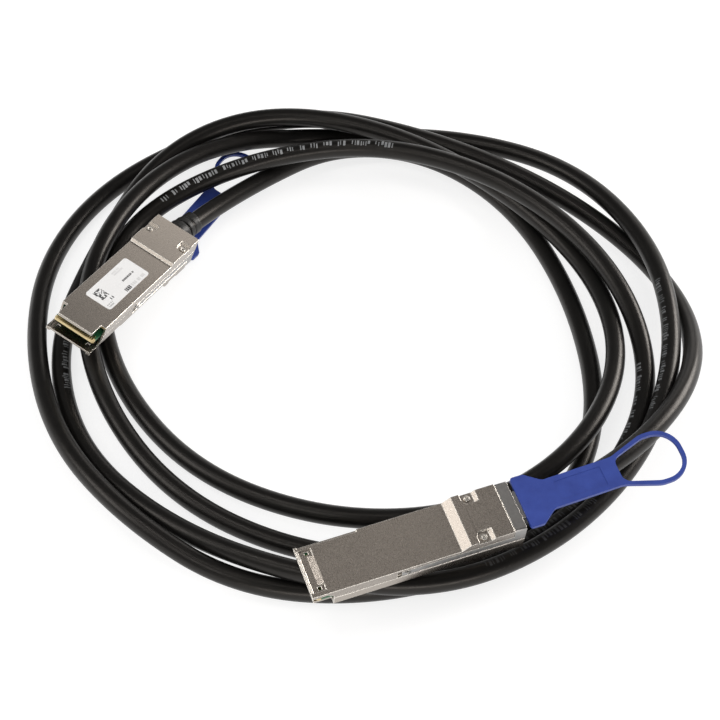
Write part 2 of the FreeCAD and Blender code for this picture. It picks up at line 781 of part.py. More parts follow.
def release_slider(label):
    """A stamped band across the belly with an arm along each side of the plug."""
    body = new_body(label)
    half = "plug_width/2 - slider_inset"
    low = "-belly_drop + slider_inset"
    arm_low, arm_high = "slot_low + arm_gap", "slot_high - arm_gap"
    band = new_sketch(body, "YZ_Plane", "band_front")
    rectangle(band, mirrored(half), half, low, arm_high)
    pad(body, band, "band_length")
    bends = both_sides("plug_length - band_length/2", half, low)
    soften(body, bends, "band_round")
    inside = new_sketch(body, "YZ_Plane", "band_front")
    inner = "plug_width/2 - slider_inset - sheet"
    rectangle(inside, mirrored(inner), inner, low + " + sheet", "nose_height")
    pocket(body, inside, both_ways=True)
    arm = new_sketch(body, "XZ_Plane", "plug_width/2 - slider_inset - sheet")
    rectangle(arm, "arm_front", "band_front + sheet", arm_low, arm_high)
    left = pad(body, arm, "sheet")
    tips = [V(value("arm_front"), -value(inner) - value("sheet") / 2, value(z))
            for z in (arm_low, arm_high)]
    tip = soften(body, tips, "arm_gap*2")
    hook = new_sketch(body, "XY_Plane", arm_low + " + arm_gap*2")
    outline(hook, [("arm_front + sheet", "-plug_width/2 + slider_inset"),
                   ("arm_front + sheet + hook_length/2", "-plug_width/2 - hook_height"),
                   ("arm_front + sheet + hook_length", "-plug_width/2 + slider_inset")])
    catch = pad(body, hook, "slot_high - slot_low - arm_gap*6")
    lug = new_sketch(body, "XY_Plane",
                     "slot_low/2 + slot_high/2 - spring_pocket/2 + arm_gap")
    rectangle(lug, "lug_x", "lug_x + lug_thickness", "-plug_width/2 + slider_inset + sheet/2",
              "-plug_width/2 + slot_depth + lug_reach")
    push = pad(body, lug, "spring_pocket - arm_gap*2")
    mirror_across(body, [left, catch, push])
    tongue = new_sketch(body, "XZ_Plane")
    under, over = low + " + tongue_joggle", low + " + tongue_joggle + sheet"
    outline(tongue, [("plug_length - sheet", low), ("plug_length", low), ("plug_length", under),
                     ("tongue_rear", under), ("tongue_rear", over),
                     ("plug_length - sheet", over)])
    pad(body, tongue, "tongue_width", both_ways=True)
    return body


def slider_springs(label):
    """Two compression springs, each as the sleeve that its coils fill."""
    body = new_body(label)
    body.AllowCompound = True
    coils = new_sketch(body, "YZ_Plane", "lug_x + lug_thickness")
    out = "plug_width/2 - slot_depth - spring_pocket/2"
    for side in (out, mirrored(out)):
        circle(coils, side, "slot_low/2 + slot_high/2", "spring_radius")
        circle(coils, side, "slot_low/2 + slot_high/2", "spring_radius - spring_wire")
    pad(body, coils, "spring_length - fit_gap")
    return body


def pull_tab(label, bend):
    """A soft strap with a finger loop, moulded round the slider's tongue and bent."""
    body = new_body(label)
    under = "-belly_drop - tab_thickness*9"
    height = "-belly_drop + slider_inset + tongue_joggle + sheet/2 - tab_offset"
    middle = value(height)
    angle = math.radians(SIZES[bend])
    way = math.copysign(1.0, angle)
    radius = SIZES["tab_bend_radius"]
    start = V(value("tab_front"), middle, 0)
    knee = V(value("tab_bend_x"), middle, 0)
    centre = knee + V(0, way * radius, 0)
    bent = centre + V(radius * math.sin(abs(angle)), -way * radius * math.cos(angle), 0)
    reach = SIZES["tab_length"] - radius * abs(angle)
    tip = bent + V(reach * math.cos(angle), reach * math.sin(angle), 0)
    halfway = centre + V(radius * math.sin(abs(angle) / 2), -way * radius * math.cos(angle / 2), 0)
    spine = new_sketch(body, "XZ_Plane")
    spine.addGeometry(Part.LineSegment(start, knee))
    spine.addGeometry(Part.Arc(knee, halfway, bent))
    spine.addGeometry(Part.LineSegment(bent, tip))
    arc_start, arc_end = (1, 2) if way > 0 else (2, 1)
    for pair in ((0, 2, 1, arc_start), (1, arc_end, 2, 1)):
        spine.addConstraint(Sketcher.Constraint("Tangent", *pair))
    ties = (("DistanceX", (-1, 1, 0, 1, start.x), "tab_front"),
            ("DistanceY", (-1, 1, 0, 1, start.y), height),
            ("DistanceX", (-1, 1, 0, 2, knee.x), "tab_bend_x"),
            ("DistanceY", (-1, 1, 0, 2, knee.y), height),
            ("Radius", (1, radius), "tab_bend_radius"),
            ("Distance", (2, reach), f"tab_length - tab_bend_radius*{abs(angle):.6f}"))
    for kind, picks, formula in ties:
        tie = spine.addConstraint(Sketcher.Constraint(kind, *picks))
        spine.setExpression(f"Constraints[{tie}]", bound(formula))
    tie = spine.addConstraint(Sketcher.Constraint("Angle", 2, angle))
    spine.setExpression(f"Constraints[{tie}]", bound(bend) + " * 1 deg")
    wide = "tab_width/2 + loop_width/2"
    section = new_sketch(body, "YZ_Plane", "tab_front")
    rectangle(section, mirrored(wide), wide, height + " - tab_thickness/2",
              height + " + tab_thickness/2")
    strip = body.newObject("PartDesign::AdditivePipe", "strip")
    strip.Profile = section
    strip.Spine = spine
    doc.recompute()
    # the tongue's slot
    slot = new_sketch(body, "YZ_Plane", "tab_front")
    tongue_low = "-belly_drop + slider_inset + tongue_joggle"
    rectangle(slot, "-tongue_width/2", "tongue_width/2", tongue_low, tongue_low + " + sheet")
    pocket(body, slot, length="tongue_reach - tab_gap", reverse=True)

    def along(formula):
        """A place on the bent strap, seen from above, as a number for an outline."""
        flat = value(formula) - value("tab_bend_x")
        return f"{value('tab_bend_x') + flat * math.cos(angle):.5f}"

    # what is cut away beside the strap and the finger loop
    waist, shoulder_end = "strap_width/2", "shoulder_x + shoulder_run"
    loop_full = along("loop_start + loop_run")
    beyond = "plug_length*2"
    for side in (mirrored, str):
        waste = new_sketch(body, "XY_Plane", under)
        outline(waste, [("tab_front - 1", side("tab_width*2")), ("tab_front - 1", side("tab_width/2")),
                        ("shoulder_x", side("tab_width/2")), (shoulder_end, side(waist)),
                        (along("loop_start"), side(waist)), (loop_full, side("loop_width/2")),
                        (beyond, side("loop_width/2")), (beyond, side("tab_width*2"))])
        pocket(body, waste, reverse=True)
    hole = new_sketch(body, "XY_Plane", under)
    hole_half = "loop_width/2 - loop_wall"
    hole_front = along("loop_start + loop_wall")
    hole_full = along("loop_start + loop_run + loop_wall/2")
    hole_rear = f"{tip.x:.5f} - loop_wall"
    narrow = "strap_width/2 - loop_wall"
    outline(hole, [(hole_front, mirrored(narrow)), (hole_full, mirrored(hole_half)),
                   (hole_rear, mirrored(hole_half)), (hole_rear, hole_half),
                   (hole_full, hole_half), (hole_front, narrow)])
    pocket(body, hole, reverse=True)

    def level(x):
        """The height of the bent strap's middle at a place along it."""
        return f"{bent.y + (value(x) - bent.x) * math.tan(angle):.5f}"

    soften(body, both_sides(shoulder_end, waist, level(shoulder_end)), "waist_round")
    soften(body, both_sides(along("loop_start"), waist, level(along("loop_start")))
           + both_sides(loop_full, "loop_width/2", level(loop_full)), "flare_round")
    strap_end = f"{tip.x:.5f}"
    soften(body, both_sides(strap_end, "loop_width/2", level(strap_end)), "loop_round")
    soften(body, both_sides(hole_rear, hole_half, level(hole_rear))
           + both_sides(hole_full, hole_half, level(hole_full)), "loop_round - loop_wall")
    soften(body, both_sides(hole_front, narrow, level(hole_front)), "hole_round")
    soften(body, both_sides("shoulder_x", "tab_width/2", height)
           + both_sides("tab_front", "tab_width/2", height), "shoulder_round")
    # shallow panel in the strap's outer face
    rise = f"{value('tab_thickness') / 2 / math.cos(angle) - value('panel_depth'):.5f}"
    ends = along("panel_front"), along("panel_front + panel_length")
    panel = new_sketch(body, "XZ_Plane")
    floor = [(x, f"{level(x)} - {rise}") for x in ends]
    outline(panel, floor + [(x, f"{level(x)} - tab_thickness") for x in reversed(ends)])
    pocket(body, panel, length="panel_width", both_ways=True)
    return body


def label_sheet(label):
    """The printed sheet, kept bare, on the label face of the far plug."""
    body = new_body(label)
    plan = new_sketch(body, "XY_Plane", "nose_height")
    low, high = "label_offset - label_width/2", "label_offset + label_width/2"
    rear = "label_front + label_length"
    rectangle(plan, "label_front", rear, low, high)
    pad(body, plan, "label_sheet")
    corners = [V(value(x), value(y), value("nose_height + label_sheet/2"))
               for x in ("label_front", rear) for y in (low, high)]
    soften(body, corners, "label_round")
    return body


# The cable

def free_cable(label):
    """The jacketed cable, one tube from ferrule to ferrule."""
    points = [V(*spot) for spot in CABLE_ROUTE]
    edges, radii = tangent_edges(points)
    path = Part.Wire(edges)
    section = Part.makeCircle(SIZES["cable_radius"], points[0], points[1] - points[0])
    tube = path.makePipeShell([Part.Wire(section)], True, False)
    expected = math.pi * SIZES["cable_radius"] ** 2 * path.Length
    print(f"cable {path.Length:.0f} mm, bend radii {min(radii):.0f} to {max(radii):.0f} mm,"
          f" volume {tube.Volume / expected:.4f} of section times length")
    if abs(tube.Volume / expected - 1) > 0.01:
        raise RuntimeError("the cable's tube isn't its section times its length")
    return new_feature(label, tube)


# Assembly

def plug(end):
    """One end's pieces, built in the plug's frame and laid in its pose."""
    pose = plug_pose(end)
    makers = (bottom_shell, top_shell, shell_rivets, paddle_card, contact_pads, board_chip,
              wire_pairs, solder_block, crimp_ferrule, strain_relief, release_slider,
              slider_springs)
    first = len(PARTS)
    for maker in makers:
        maker(f"{end}_{maker.__name__}")
    pull_tab(f"{end}_pull_tab", f"{end}_tab_bend")
    if end == "far":
        label_sheet("far_label")
    for piece in PARTS[first:]:
        piece.Placement = pose.multiply(piece.Placement)


def check_document():
    """Stops the build if any feature failed or any piece isn't a sound solid."""
    doc.recompute()
    for item in doc.Objects:
        if "Invalid" in item.State or "Error" in item.State:
            raise RuntimeError(f"{item.Label} ({item.Name}) failed")
    for piece in PARTS:
        if piece.Shape.isNull() or not piece.Shape.isValid() or not piece.Shape.Solids:
            raise RuntimeError(f"{piece.Label} has no sound solid")


for end in ("far", "near"):
    plug(end)
free_cable("cable")
check_document()
os.makedirs("parts", exist_ok=True)
for piece in PARTS:
    piece.Shape.exportStep(f"parts/{piece.Label}.step")
print(len(PARTS), "pieces written")
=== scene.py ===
"""Looks of the direct attach copper cable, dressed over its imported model."""
import math
import random

import bmesh
import bpy
from mathutils import Euler, Matrix, Vector

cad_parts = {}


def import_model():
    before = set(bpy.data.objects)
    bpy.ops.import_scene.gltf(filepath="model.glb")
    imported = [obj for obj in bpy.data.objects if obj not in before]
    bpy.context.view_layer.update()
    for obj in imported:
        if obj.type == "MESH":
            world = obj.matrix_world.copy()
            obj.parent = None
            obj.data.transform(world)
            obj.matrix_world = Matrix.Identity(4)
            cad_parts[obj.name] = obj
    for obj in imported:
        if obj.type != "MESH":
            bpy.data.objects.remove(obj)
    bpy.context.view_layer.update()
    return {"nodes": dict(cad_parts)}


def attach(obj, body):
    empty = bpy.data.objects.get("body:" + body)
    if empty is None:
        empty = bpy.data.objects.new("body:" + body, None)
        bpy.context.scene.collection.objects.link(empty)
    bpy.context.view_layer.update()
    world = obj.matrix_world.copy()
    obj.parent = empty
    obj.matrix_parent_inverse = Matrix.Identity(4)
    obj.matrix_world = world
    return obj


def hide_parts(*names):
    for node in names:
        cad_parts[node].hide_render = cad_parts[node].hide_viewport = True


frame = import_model()

MM = 0.001
SIDES = ("far", "near")

# Sizes and places, in mm and degrees, as the solids have them
PLUG_POSES = {
    "far": ((-102.2, -11.3, 21.7), (63.9, 12.1, 16.1)),
    "near": ((-18.4, -113.0, 25.0), (20.7, -0.5, 190.2)),
}
NOSE_HEIGHT = 8.5
CARD_BARE = 3.4  # the card has no mask ahead of this
LABEL = {"front": 16.0, "sheet": 0.1, "print_lift": 0.015}
TAB = {"height": -1.7, "thickness": 1.3, "bend_x": 79.5, "bend_radius": 12.0,
       "panel_depth": 0.12, "edge": 0.28, "sharp": 40}
TAB_BENDS = {"far": 14.0, "near": -3.4}
# corners on one side of the strap, of its finger hole and of its sunk panel: x, y, radius
TAB_SIDE = [(73.8, 9.4, 1.0), (78.4, 9.4, 1.0), (83.6, 5.4, 2.8), (107.7, 5.4, 6.0),
            (119.6, 9.6, 9.0), (131.1, 9.6, 8.4)]
HOLE_SIDE = [(108.3, 4.3, 3.3), (120.0, 8.2, 8.0), (129.75, 8.2, 7.1)]
PANEL_SIDE = [(87.0, 3.5, 0.3), (103.0, 3.5, 0.3)]
ARC_STEPS = 12
BEND_STEPS = 5
CABLE_DIAMETER = 7.0
CABLE_ROUTE = [
    (-75.27, 40.78, 13.65), (-66.23, 59.22, 9.25), (-42, 85.5, 7), (-10.5, 108.5, 6.5),
    (27, 107, 3.5), (59.5, 76, 3.5), (78.5, 25.5, 3.5), (83.5, -28, 3.5), (68, -70.5, 3.5),
    (30, -92, 3.5), (-18, -90.5, 3.5), (-62.5, -66.5, 3.5), (-92, -24, 6.5), (-102, 24.5, 12),
    (-88, 69.5, 16), (-56.5, 103, 13.5), (-10.5, 117, 3.5), (40, 116, 4), (82.5, 92, 9),
    (108, 47.5, 12), (112, -3.5, 12.5), (96.5, -52, 11.5), (66, -88.5, 10.5), (26, -108, 9.5),
    (-18.5, -105, 12), (-63, -82, 7), (-97.5, -45.5, 3.5), (-110.5, 3, 3.5), (-98.5, 54, 4.5),
    (-77.5, 97, 12.5), (-41, 116, 17), (5.5, 108.5, 17), (51.5, 80.5, 12.5), (85, 39, 8.5),
    (93, -8.5, 10), (74, -52, 11.5), (37, -77.5, 9), (-10.5, -78, 6), (-56, -56, 3.5),
    (-86.5, -15.5, 3.5), (-98, 31.5, 5.5), (-83, 69, 8.5), (-41.5, 92.5, 14), (9.5, 95, 20),
    (59, 71.5, 20), (93, 30.5, 15.5), (103, -16.5, 8), (85.5, -59.5, 6), (50.5, -92, 5.5),
    (4.5, -106.5, 3.5), (-41, -103.5, 5), (-77.5, -79.5, 10.5), (-104.5, -44, 8.5),
    (-117.5, 1, 6), (-117.5, 47, 4), (-99.5, 86, 3.5), (-65.5, 112, 5.5), (-22.5, 121, 12.5),
    (23.5, 108, 12), (68, 86.5, 7.5), (102, 56, 3.5), (119, 17.5, 6), (115.5, -23, 16),
    (91.5, -59.5, 20.5), (56.18, -83.95, 21.17), (36.54, -91.37, 20.99),
]
PRINT_LIFT = 0.02
# the bars: how many to a group, their sizes, the gaps after a bar and after a group, in mm,
# and how far round the jacket a bar may stray, in radians
BARS = {"group": (2, 8), "widths": (0.35, 0.45, 0.9), "half_heights": (0.8, 1.2),
        "gaps": (0.45, 0.6, 0.8), "group_gaps": (1.2, 2.2), "strays": (0.0, 0.08, -0.08)}
# stretches of printed bars on the jacket: distance along it, length, turn from its top, ink
PRINTED = [(1902, 92, 12, "clear"), (872, 64, 44, "worn"), (2142, 30, 48, "worn"),
           (1212, 34, 30, "worn"), (2196, 52, 5, "faint"), (982, 44, 5, "faint")]


def plug_matrix(side):
    """Where a plug's own frame lies: x runs back from its nose, z up from its belly."""
    place, (yaw, pitch, roll) = PLUG_POSES[side]
    turn = Euler([math.radians(angle) for angle in (roll, pitch, yaw)], "XYZ").to_matrix()
    return Matrix.Translation(Vector(place) * MM) @ turn.to_4x4()


def added(name, data):
    """A new object in the scene."""
    thing = bpy.data.objects.new(name, data)
    bpy.context.collection.objects.link(thing)
    return thing


def as_mesh(name, work):
    mesh = bpy.data.meshes.new(name)
    work.to_mesh(mesh)
    work.free()
    return mesh


def new_piece(name, mesh, material, body="root"):
    piece = added(name, mesh)
    mesh.materials.append(material)
    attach(piece, body)
    return piece


# Materials


class Nodes:
    """A node tree, with short calls for the nodes used here."""

    def __init__(self, tree):
        self.tree = tree

    def feed(self, target, source):
        """Links a socket to another one, or sets its value."""
        if isinstance(source, bpy.types.NodeSocket):
            self.tree.links.new(source, target)
        else:
            target.default_value = source

    def node(self, kind, inputs=None, **settings):
        node = self.tree.nodes.new(kind)
        for key, setting in settings.items():
            setattr(node, key, setting)
        for key, source in (inputs or {}).items():
            self.feed(node.inputs[key], source)
        return node

    def blend(self, factor, first, second):
        """A colour between two, each a socket or red, green and blue."""
        node = self.node("ShaderNodeMix", {"Factor": factor}, data_type="RGBA")
        colors = [socket for socket in node.inputs if socket.type == "RGBA"]
        for socket, color in zip(colors, (first, second)):
            self.feed(socket, (*color, 1.0) if isinstance(color, tuple) else color)
        return next(socket for socket in node.outputs if socket.type == "RGBA")

    def either(self, first, second):
        """1 where a ray is of the first kind or of the second."""
        return self.node("ShaderNodeMath", {0: first, 1: second}, operation="MAXIMUM").outputs[0]


class Shader(Nodes):
    """The tree of a new material with the usual surface."""

    def __init__(self, name):
        self.material = bpy.data.materials.new(name)
        self.material.use_nodes = True
        super().__init__(self.material.node_tree)
        self.surface = self.tree.nodes["Principled BSDF"]
        self.place = self.node("ShaderNodeTexCoord").outputs["Object"]

    def put(self, **values):
        """Sets or links the surface's inputs, with _ for each space in their names."""
        for key, source in values.items():
            self.feed(self.surface.inputs[key.replace("_", " ")], source)

    def noise(self, scale, detail=3.0, rough=0.55):
        inputs = {"Scale": scale, "Detail": detail, "Roughness": rough, "Vector": self.place}
        return self.node("ShaderNodeTexNoise", inputs).outputs["Fac"]

    def spread(self, source, low, high, out_low, out_high):
        inputs = {"From Min": low, "From Max": high, "To Min": out_low, "To Max": out_high,
                  "Value": source}
        return self.node("ShaderNodeMapRange", inputs).outputs["Result"]

    def mottle(self, noise, dark, light, low=0.3, high=0.7):
        """Dark where the noise is at low, light where it is at high."""
        return self.blend(self.spread(noise, low, high, 0.0, 1.0), dark, light)

    def bump(self, height, depth, strength):
        """Grain of a depth in mm."""
        inputs = {"Strength": strength, "Distance": depth * MM, "Height": height}
        self.put(Normal=self.node("ShaderNodeBump", inputs).outputs["Normal"])


def plated(name, dark, light, sway, grain_depth, scale=3400.0, roughness=0.27):
    """Nickel plate over die-cast zinc: a fine sandy grain under slow, faint stains."""
    shader = Shader(name)
    grain = shader.noise(scale, 2.0, 0.6)
    stains = shader.spread(shader.noise(220.0), 0.4, 0.7, 0.0, 0.5)
    sandy = shader.mottle(grain, dark, light, 0.36, 0.64)
    middle = tuple((low + high) / 2 for low, high in zip(dark, light))
    shader.put(Base_Color=shader.blend(stains, sandy, middle), Metallic=1.0,
               Roughness=shader.spread(grain, 0.3, 0.7, roughness - sway, roughness + sway))
    shader.bump(grain, grain_depth, 0.5)
    return shader.material


def sheet_steel(name, tone):
    """Stamped sheet with faint streaks."""
    shader = Shader(name)
    streaks = shader.noise(900.0, 4.0)
    dark = tuple(0.78 * part for part in tone)
    shader.put(Base_Color=shader.mottle(streaks, dark, tone), Metallic=1.0,
               Roughness=shader.spread(streaks, 0.3, 0.7, 0.28, 0.42))
    shader.bump(streaks, 0.02, 0.2)
    return shader.material


def moulded(name, dark, light, roughness, grain=1500.0, **more):
    """Plastic, rubber or ink with a slow change of tone and a fine surface."""
    shader = Shader(name)
    slow = shader.noise(180.0)
    fine = shader.noise(grain)
    shader.put(Base_Color=shader.mottle(slow, dark, light), **more,
               Roughness=shader.spread(fine, 0.3, 0.7, roughness - 0.05, roughness + 0.06))
    shader.bump(fine, 0.02, 0.3)
    return shader.material


def circuit_board(side):
    """Green mask over a tan laminate, bare at the card's bevelled front edge."""
    shader = Shader(f"{side}_board")
    weave = shader.noise(1200.0, 2.0)
    green = shader.mottle(weave, (0.012, 0.075, 0.03), (0.03, 0.15, 0.06), 0.35, 0.65)
    matrix = plug_matrix(side)
    ahead = matrix.to_3x3() @ Vector((1, 0, 0))
    distance = shader.node("ShaderNodeVectorMath", {0: shader.place, 1: ahead},
                           operation="DOT_PRODUCT").outputs["Value"]
    edge = matrix.translation.dot(ahead) + CARD_BARE * MM
    bare = shader.spread(distance, edge - 0.02 * MM, edge + 0.02 * MM, 1.0, 0.0)
    shader.put(Base_Color=shader.blend(bare, green, (0.62, 0.5, 0.27)), Roughness=0.35)
    shader.bump(weave, 0.02, 0.2)
    return shader.material


def gold():
    shader = Shader("contact_gold")
    wear = shader.noise(1100.0)
    shader.put(Base_Color=shader.mottle(wear, (0.62, 0.43, 0.15), (0.86, 0.68, 0.33)),
               Metallic=1.0, Roughness=0.28)
    return shader.material


def paper():
    shader = Shader("label_paper")
    fibres = shader.noise(2600.0, 4.0)
    shader.put(Base_Color=shader.mottle(fibres, (0.68, 0.68, 0.685), (0.75, 0.75, 0.75)),
               Roughness=0.45)
    shader.bump(fibres, 0.008, 0.3)
    return shader.material


# Each with its dark and light tone; plated ones with their sway in roughness and grain depth
HOUSING = plated("plated_housing", (0.25, 0.219, 0.19), (0.45, 0.407, 0.365), 0.05, 0.06, 4200.0)
COVER = plated("plated_cover", (0.37, 0.33, 0.288), (0.45, 0.405, 0.36), 0.015, 0.006, 6000.0)
# the metal of the rounded edges, much lighter than the faces beside them: a painted highlight
# along the edges
EDGE_HIGHLIGHT_METAL = plated("painted_edge_highlight", (0.74, 0.7, 0.64), (0.84, 0.8, 0.74), 0.02, 0.002)
RIVET = plated("rivet_metal", (0.46, 0.44, 0.41), (0.52, 0.5, 0.47), 0.03, 0.002)
SLIDER = sheet_steel("stamped_steel", (0.4, 0.39, 0.38))
FERRULE = sheet_steel("ferrule_steel", (0.5, 0.5, 0.5))
BLUE = moulded("blue_plastic", (0.018, 0.042, 0.25), (0.026, 0.058, 0.31), 0.42, 2400.0)
JACKET = moulded("jacket_black", (0.0042, 0.0041, 0.004), (0.0065, 0.006, 0.0056), 0.33, 1300.0,
                 Specular_IOR_Level=0.36, Specular_Tint=(1.0, 0.94, 0.88, 1.0))
BOOT = moulded("boot_black", (0.007, 0.0068, 0.0066), (0.011, 0.0105, 0.01), 0.42)
CHIP = moulded("chip_black", (0.02, 0.02, 0.02), (0.035, 0.035, 0.035), 0.45)
WIRE = moulded("wire_insulation", (0.6, 0.6, 0.58), (0.72, 0.72, 0.7), 0.4)
POTTING = moulded("potting", (0.42, 0.4, 0.34), (0.5, 0.47, 0.4), 0.5)
BOARDS = {side: circuit_board(side) for side in SIDES}
GOLD = gold()
PAPER = paper()
CABLE_INKS = {
    "clear": moulded("clear_ink", (0.15, 0.155, 0.16), (0.26, 0.265, 0.27), 0.5),
    "worn": moulded("worn_ink", (0.09, 0.093, 0.096), (0.16, 0.165, 0.17), 0.5),
    "faint": moulded("faint_ink", (0.018, 0.018, 0.019), (0.04, 0.04, 0.042), 0.45),
}
LABEL_INKS = {
    "dark": moulded("dark_ink", (0.03, 0.03, 0.032), (0.06, 0.06, 0.062), 0.55),
    "grey": moulded("grey_ink", (0.3, 0.3, 0.3), (0.42, 0.42, 0.42), 0.55),
    "pale": moulded("pale_ink", (0.54, 0.54, 0.54), (0.62, 0.62, 0.62), 0.55),
}

FINISHES = {
    "bottom_shell": HOUSING, "top_shell": COVER, "shell_rivets": RIVET, "contact_pads": GOLD,
    "board_chip": CHIP, "wire_pairs": WIRE, "solder_block": POTTING, "crimp_ferrule": FERRULE,
    "strain_relief": BOOT, "release_slider": SLIDER, "slider_springs": SLIDER,
    "pull_tab": BLUE, "label": PAPER, "cable": JACKET,
}
# mm that sharp edges are rounded by, and the finishes whose rounded edges get a lighter metal, a
# painted highlight
ROUNDED = {"bottom_shell": 0.18, "top_shell": 0.18, "release_slider": 0.08,
           "strain_relief": 0.25, "shell_rivets": 0.16}
HIGHLIT_EDGE_FINISHES = (HOUSING, COVER, SLIDER, RIVET)
SHARP = 28  # degrees that an edge turns by before it counts

# Pieces carried over from the solids


def bevel_edges(piece, width, sharp):
    """Rounds the edges at which a piece turns by more than so many degrees."""
    bevel = piece.modifiers.new("bevel", "BEVEL")
    bevel.width = width * MM
    bevel.segments = 3
    bevel.limit_method = "ANGLE"
    bevel.angle_limit = math.radians(sharp)
    bevel.harden_normals = True
    return bevel


def soften_edges(piece, width, paint_highlight):
    """Joins the facets of a solid's mesh, then rounds its sharp edges."""
    weld = piece.modifiers.new("weld", "WELD")
    weld.merge_threshold = 1e-6
    bevel = bevel_edges(piece, width, SHARP)
    bevel.use_clamp_overlap = False
    # the rounding gets the lighter metal: a painted highlight along the edge
    if paint_highlight:
        piece.data.materials.append(EDGE_HIGHLIGHT_METAL)
        bevel.material = 1


def dress_solids():
    for name, node in frame["nodes"].items():
        side, _, kind = name.partition("_")
        kind = kind or name
        finish = BOARDS[side] if kind == "paddle_card" else FINISHES[kind]
        node.data.materials.clear()
        node.data.materials.append(finish)
        if kind in ROUNDED:
            soften_edges(node, ROUNDED[kind], finish in HIGHLIT_EDGE_FINISHES)


# Pull tabs


def rounded(corners):
    """A closed outline whose corners, each given as x, y and radius, are arcs."""
    spots = []
    for index, (x, y, radius) in enumerate(corners):
        corner = Vector((x, y))
        back = (Vector(corners[index - 1][:2]) - corner).normalized()
        ahead = (Vector(corners[(index + 1) % len(corners)][:2]) - corner).normalized()
        half = back.angle(ahead) / 2
        centre = corner + (back + ahead).normalized() * radius / math.sin(half)
        arms = [corner + way * radius / math.tan(half) - centre for way in (back, ahead)]
        start = math.atan2(arms[0].y, arms[0].x)
        turn = math.atan2(arms[0].cross(arms[1]), arms[0].dot(arms[1]))
        for step in range(ARC_STEPS + 1):
            angle = start + turn * step / ARC_STEPS
            spots.append(centre + radius * Vector((math.cos(angle), math.sin(angle))))
    return spots


def both_halves(half):
    """An outline's corners on one side of the strap, with their mirror images."""
    return half + [(x, -y, radius) for x, y, radius in reversed(half)]


def flat_strap():
    """The strap before it is bent, with its finger hole and sunk panel."""
    work = bmesh.new()
    top = TAB["thickness"] / 2
    outer, hole, panel = [rounded(both_halves(half)) for half in (TAB_SIDE, HOLE_SIDE, PANEL_SIDE)]
    for face, outlines in ((top, (outer, hole)), (-top, (outer, hole, panel))):
        edges = []
        for spots in outlines:
            ring = [work.verts.new((*spot, face)) for spot in spots]
            edges += [work.edges.new(pair) for pair in zip(ring, ring[1:] + ring[:1])]
        bmesh.ops.triangle_fill(work, use_beauty=True, edges=edges)
    sunk = TAB["panel_depth"] - top
    work.faces.new([work.verts.new((*spot, sunk)) for spot in panel])
    for spots, high in ((outer, top), (hole, top), (panel, sunk)):
        for first, second in zip(spots, spots[1:] + spots[:1]):
            wall = ((*first, high), (*second, high), (*second, -top), (*first, -top))
            work.faces.new([work.verts.new(spot) for spot in wall])
    bmesh.ops.remove_doubles(work, verts=work.verts, dist=1e-4)
    return work


def bent(spot, bend):
    """A place on the flat strap, moved to where the bend takes it."""
    x, y, lift = spot
    turn = math.radians(bend)
    radius = math.copysign(TAB["bend_radius"], turn)
    run = max(0.0, x - TAB["bend_x"])
    angle = min(run / radius, turn, key=abs)
    beyond = run - angle * radius
    base = Vector((min(x, TAB["bend_x"]), 0, TAB["height"]))
    base += radius * Vector((math.sin(angle), 0, 1 - math.cos(angle)))
    base += beyond * Vector((math.cos(angle), 0, math.sin(angle)))
    return base + Vector((-math.sin(angle) * lift, y, math.cos(angle) * lift))


def pull_tab(side):
    """The blue strap and its finger loop, cut from one flat sheet and then bent."""
    work = flat_strap()
    bend = TAB_BENDS[side]
    reach = TAB["bend_radius"] * math.radians(abs(bend))
    for step in range(BEND_STEPS + 1):
        cut = Vector((TAB["bend_x"] + reach * step / BEND_STEPS, 0, 0))
        parts = work.verts[:] + work.edges[:] + work.faces[:]
        bmesh.ops.bisect_plane(work, geom=parts, plane_co=cut, plane_no=(1, 0, 0))
    for vertex in work.verts:
        vertex.co = plug_matrix(side) @ (bent(vertex.co, bend) * MM)
    bmesh.ops.recalc_face_normals(work, faces=work.faces)
    strap = new_piece(f"{side}_tab_strap", as_mesh(f"{side}_tab_strap", work), BLUE,
                      f"{side}_release")
    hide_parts(f"{side}_pull_tab")
    bevel_edges(strap, TAB["edge"], TAB["sharp"])


# Cord and its print


def cable_curve(name, thick):
    curve = bpy.data.curves.new(name, "CURVE")
    curve.dimensions = "3D"
    spline = curve.splines.new("NURBS")
    spline.points.add(len(CABLE_ROUTE) - 1)
    for point, spot in zip(spline.points, CABLE_ROUTE):
        point.co = (*(part * MM for part in spot), 1.0)
    spline.order_u = 3
    spline.use_endpoint_u = True
    spline.resolution_u = 14
    if thick:
        curve.bevel_depth = CABLE_DIAMETER * MM / 2
        curve.bevel_resolution = 7
        curve.use_fill_caps = True
    return curve


def cable_line():
    """Points of the cord's own spline, each with its distance from the start."""
    bare = added("bare_line", cable_curve("bare_line", False))
    bpy.context.view_layer.update()
    mesh = bpy.data.meshes.new_from_object(bare)
    spots = [vertex.co.copy() for vertex in mesh.vertices]
    bpy.data.meshes.remove(mesh)
    bpy.data.objects.remove(bare)
    line = [(0.0, spots[0])]
    for last, spot in zip(spots, spots[1:]):
        line.append((line[-1][0] + (spot - last).length, spot))
    return line


def along(line, distance):
    """The place and direction at a distance along the cord."""
    for (start, first), (end, second) in zip(line, line[1:]):
        if distance <= end:
            share = (distance - start) / (end - start)
            return first.lerp(second, share), (second - first).normalized()
    return line[-1][1], (line[-1][1] - line[-2][1]).normalized()


def arc_over(line, distance, middle, half):
    """Places in an arc over the jacket, between middle - half and middle + half."""
    radius = (CABLE_DIAMETER / 2 + PRINT_LIFT) * MM
    centre, ahead = along(line, distance)
    side = ahead.cross(Vector((0, 0, 1))).normalized()
    top = side.cross(ahead).normalized()
    angles = [middle + half * share for share in (-1, -0.5, 0, 0.5, 1)]
    return [centre + radius * (math.cos(angle) * top + math.sin(angle) * side)
            for angle in angles]


